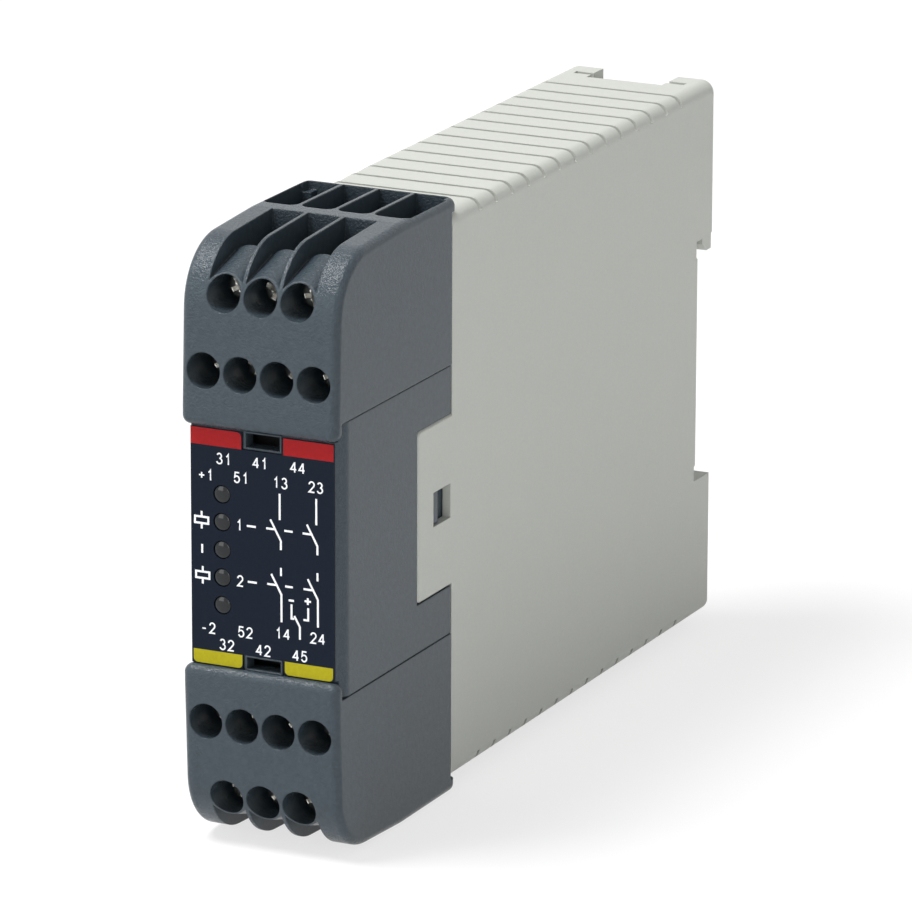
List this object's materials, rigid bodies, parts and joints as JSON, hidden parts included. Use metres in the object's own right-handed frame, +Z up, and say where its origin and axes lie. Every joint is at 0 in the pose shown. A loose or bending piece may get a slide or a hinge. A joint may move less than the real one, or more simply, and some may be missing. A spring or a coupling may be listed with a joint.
{
  "type": "safety controller",
  "caption": "Slim rail-mounted safety controller: vented sleeve case, two plug-in screw terminal blocks, label with indicators between them, sprung rail latch behind",
  "frame": {"origin": "bottom centre of the bounding box", "axes": "+Z up, +Y towards the mounting rail, the front with the terminals faces -Y, X across the width"},
  "size_m": [0.0226, 0.1186, 0.0816],
  "materials": {
    "case_plastic": "fine-textured light grey",
    "dark_plastic": "satin dark grey",
    "label": "printed foil",
    "board": "solder mask",
    "lamp": "clear resin",
    "cable": "smooth",
    "relay_plastic": "smooth",
    "capacitor": "satin",
    "chip": "smooth",
    "latch_plastic": "fine-textured light grey",
    "spring_steel": "bright",
    "tinned_metal": "tin plated",
    "header_plastic": "smooth",
    "screw_steel": "zinc plated",
    "cage_steel": "zinc plated",
    "lens": "smoky lens"
  },
  "bodies": {
    "base": {"case_sleeve": "case_plastic", "front_carrier": "dark_plastic", "label_plate": "label", "display_board": "board", "indicator_lamps": "lamp", "connector_board": "board", "flat_cable": "cable", "main_board": "board", "relay_upper": "relay_plastic", "relay_lower": "relay_plastic", "capacitors": "capacitor", "control_chips": "chip", "latch_spring": "spring_steel", "pin_header_upper": "header_plastic", "pin_header_lower": "header_plastic", "header_pins_upper": "tinned_metal", "header_pins_lower": "tinned_metal", "light_pipe_1": "lens", "light_pipe_2": "lens", "light_pipe_3": "lens", "light_pipe_4": "lens", "light_pipe_5": "lens"},
    "block_upper": {"terminal_block_upper": "dark_plastic", "contact_bars_upper": "tinned_metal"},
    "block_lower": {"terminal_block_lower": "dark_plastic", "contact_bars_lower": "tinned_metal"},
    "latch": {"rail_latch": "latch_plastic"},
    "screw_upper_1": {"clamp_screw_upper_1": "screw_steel"},
    "cage_upper_1": {"clamp_cage_upper_1": "cage_steel"},
    "screw_upper_2": {"clamp_screw_upper_2": "screw_steel"},
    "cage_upper_2": {"clamp_cage_upper_2": "cage_steel"},
    "screw_upper_3": {"clamp_screw_upper_3": "screw_steel"},
    "cage_upper_3": {"clamp_cage_upper_3": "cage_steel"},
    "screw_upper_4": {"clamp_screw_upper_4": "screw_steel"},
    "cage_upper_4": {"clamp_cage_upper_4": "cage_steel"},
    "screw_upper_5": {"clamp_screw_upper_5": "screw_steel"},
    "cage_upper_5": {"clamp_cage_upper_5": "cage_steel"},
    "screw_upper_6": {"clamp_screw_upper_6": "screw_steel"},
    "cage_upper_6": {"clamp_cage_upper_6": "cage_steel"},
    "screw_upper_7": {"clamp_screw_upper_7": "screw_steel"},
    "cage_upper_7": {"clamp_cage_upper_7": "cage_steel"},
    "screw_lower_1": {"clamp_screw_lower_1": "screw_steel"},
    "cage_lower_1": {"clamp_cage_lower_1": "cage_steel"},
    "screw_lower_2": {"clamp_screw_lower_2": "screw_steel"},
    "cage_lower_2": {"clamp_cage_lower_2": "cage_steel"},
    "screw_lower_3": {"clamp_screw_lower_3": "screw_steel"},
    "cage_lower_3": {"clamp_cage_lower_3": "cage_steel"},
    "screw_lower_4": {"clamp_screw_lower_4": "screw_steel"},
    "cage_lower_4": {"clamp_cage_lower_4": "cage_steel"},
    "screw_lower_5": {"clamp_screw_lower_5": "screw_steel"},
    "cage_lower_5": {"clamp_cage_lower_5": "cage_steel"},
    "screw_lower_6": {"clamp_screw_lower_6": "screw_steel"},
    "cage_lower_6": {"clamp_cage_lower_6": "cage_steel"},
    "screw_lower_7": {"clamp_screw_lower_7": "screw_steel"},
    "cage_lower_7": {"clamp_cage_lower_7": "cage_steel"}
  },
  "joints": [
    {"name": "block_upper_pull", "type": "slide", "parent": "base", "child": "block_upper", "axis": [0, -1, 0], "range_m": [0, 0.012]},
    {"name": "block_lower_pull", "type": "slide", "parent": "base", "child": "block_lower", "axis": [0, -1, 0], "range_m": [0, 0.012]},
    {"name": "latch_pull", "type": "slide", "parent": "base", "child": "latch", "axis": [0, 0, -1], "range_m": [0, 0.0021], "stiffness_N_per_m": 800, "springref_m": -0.0015, "deforming": ["latch_spring"]},
    {"name": "screw_upper_1_turn", "type": "hinge", "parent": "block_upper", "child": "screw_upper_1", "pos_m": [-0.00527, -0.05325, 0.07465], "axis": [0, 1, 0], "range_deg": [0, 1440]},
    {"name": "cage_upper_1_slide", "type": "slide", "parent": "block_upper", "child": "cage_upper_1", "axis": [0, -1, 0], "range_m": [0, 0.0018]},
    {"name": "screw_upper_2_turn", "type": "hinge", "parent": "block_upper", "child": "screw_upper_2", "pos_m": [0, -0.05325, 0.07465], "axis": [0, 1, 0], "range_deg": [0, 1440]},
    {"name": "cage_upper_2_slide", "type": "slide", "parent": "block_upper", "child": "cage_upper_2", "axis": [0, -1, 0], "range_m": [0, 0.0018]},
    {"name": "screw_upper_3_turn", "type": "hinge", "parent": "block_upper", "child": "screw_upper_3", "pos_m": [0.00527, -0.05325, 0.07465], "axis": [0, 1, 0], "range_deg": [0, 1440]},
    {"name": "cage_upper_3_slide", "type": "slide", "parent": "block_upper", "child": "cage_upper_3", "axis": [0, -1, 0], "range_m": [0, 0.0018]},
    {"name": "screw_upper_4_turn", "type": "hinge", "parent": "block_upper", "child": "screw_upper_4", "pos_m": [-0.00791, -0.05325, 0.0644], "axis": [0, 1, 0], "range_deg": [0, 1440]},
    {"name": "cage_upper_4_slide", "type": "slide", "parent": "block_upper", "child": "cage_upper_4", "axis": [0, -1, 0], "range_m": [0, 0.0018]},
    {"name": "screw_upper_5_turn", "type": "hinge", "parent": "block_upper", "child": "screw_upper_5", "pos_m": [-0.00264, -0.05325, 0.0644], "axis": [0, 1, 0], "range_deg": [0, 1440]},
    {"name": "cage_upper_5_slide", "type": "slide", "parent": "block_upper", "child": "cage_upper_5", "axis": [0, -1, 0], "range_m": [0, 0.0018]},
    {"name": "screw_upper_6_turn", "type": "hinge", "parent": "block_upper", "child": "screw_upper_6", "pos_m": [0.00264, -0.05325, 0.0644], "axis": [0, 1, 0], "range_deg": [0, 1440]},
    {"name": "cage_upper_6_slide", "type": "slide", "parent": "block_upper", "child": "cage_upper_6", "axis": [0, -1, 0], "range_m": [0, 0.0018]},
    {"name": "screw_upper_7_turn", "type": "hinge", "parent": "block_upper", "child": "screw_upper_7", "pos_m": [0.00791, -0.05325, 0.0644], "axis": [0, 1, 0], "range_deg": [0, 1440]},
    {"name": "cage_upper_7_slide", "type": "slide", "parent": "block_upper", "child": "cage_upper_7", "axis": [0, -1, 0], "range_m": [0, 0.0018]},
    {"name": "screw_lower_1_turn", "type": "hinge", "parent": "block_lower", "child": "screw_lower_1", "pos_m": [-0.00527, -0.05325, 0.00695], "axis": [0, 1, 0], "range_deg": [0, 1440]},
    {"name": "cage_lower_1_slide", "type": "slide", "parent": "block_lower", "child": "cage_lower_1", "axis": [0, -1, 0], "range_m": [0, 0.0018]},
    {"name": "screw_lower_2_turn", "type": "hinge", "parent": "block_lower", "child": "screw_lower_2", "pos_m": [0, -0.05325, 0.00695], "axis": [0, 1, 0], "range_deg": [0, 1440]},
    {"name": "cage_lower_2_slide", "type": "slide", "parent": "block_lower", "child": "cage_lower_2", "axis": [0, -1, 0], "range_m": [0, 0.0018]},
    {"name": "screw_lower_3_turn", "type": "hinge", "parent": "block_lower", "child": "screw_lower_3", "pos_m": [0.00527, -0.05325, 0.00695], "axis": [0, 1, 0], "range_deg": [0, 1440]},
    {"name": "cage_lower_3_slide", "type": "slide", "parent": "block_lower", "child": "cage_lower_3", "axis": [0, -1, 0], "range_m": [0, 0.0018]},
    {"name": "screw_lower_4_turn", "type": "hinge", "parent": "block_lower", "child": "screw_lower_4", "pos_m": [-0.00791, -0.05325, 0.0172], "axis": [0, 1, 0], "range_deg": [0, 1440]},
    {"name": "cage_lower_4_slide", "type": "slide", "parent": "block_lower", "child": "cage_lower_4", "axis": [0, -1, 0], "range_m": [0, 0.0018]},
    {"name": "screw_lower_5_turn", "type": "hinge", "parent": "block_lower", "child": "screw_lower_5", "pos_m": [-0.00264, -0.05325, 0.0172], "axis": [0, 1, 0], "range_deg": [0, 1440]},
    {"name": "cage_lower_5_slide", "type": "slide", "parent": "block_lower", "child": "cage_lower_5", "axis": [0, -1, 0], "range_m": [0, 0.0018]},
    {"name": "screw_lower_6_turn", "type": "hinge", "parent": "block_lower", "child": "screw_lower_6", "pos_m": [0.00264, -0.05325, 0.0172], "axis": [0, 1, 0], "range_deg": [0, 1440]},
    {"name": "cage_lower_6_slide", "type": "slide", "parent": "block_lower", "child": "cage_lower_6", "axis": [0, -1, 0], "range_m": [0, 0.0018]},
    {"name": "screw_lower_7_turn", "type": "hinge", "parent": "block_lower", "child": "screw_lower_7", "pos_m": [0.00791, -0.05325, 0.0172], "axis": [0, 1, 0], "range_deg": [0, 1440]},
    {"name": "cage_lower_7_slide", "type": "slide", "parent": "block_lower", "child": "cage_lower_7", "axis": [0, -1, 0], "range_m": [0, 0.0018]}
  ],
  "couplings": [
    {"joint": "screw_upper_1_turn", "follows": "cage_upper_1_slide", "rad_per_m": 13962},
    {"joint": "screw_upper_2_turn", "follows": "cage_upper_2_slide", "rad_per_m": 13962},
    {"joint": "screw_upper_3_turn", "follows": "cage_upper_3_slide", "rad_per_m": 13962},
    {"joint": "screw_upper_4_turn", "follows": "cage_upper_4_slide", "rad_per_m": 13962},
    {"joint": "screw_upper_5_turn", "follows": "cage_upper_5_slide", "rad_per_m": 13962},
    {"joint": "screw_upper_6_turn", "follows": "cage_upper_6_slide", "rad_per_m": 13962},
    {"joint": "screw_upper_7_turn", "follows": "cage_upper_7_slide", "rad_per_m": 13962},
    {"joint": "screw_lower_1_turn", "follows": "cage_lower_1_slide", "rad_per_m": 13962},
    {"joint": "screw_lower_2_turn", "follows": "cage_lower_2_slide", "rad_per_m": 13962},
    {"joint": "screw_lower_3_turn", "follows": "cage_lower_3_slide", "rad_per_m": 13962},
    {"joint": "screw_lower_4_turn", "follows": "cage_lower_4_slide", "rad_per_m": 13962},
    {"joint": "screw_lower_5_turn", "follows": "cage_lower_5_slide", "rad_per_m": 13962},
    {"joint": "screw_lower_6_turn", "follows": "cage_lower_6_slide", "rad_per_m": 13962},
    {"joint": "screw_lower_7_turn", "follows": "cage_lower_7_slide", "rad_per_m": 13962}
  ]
}
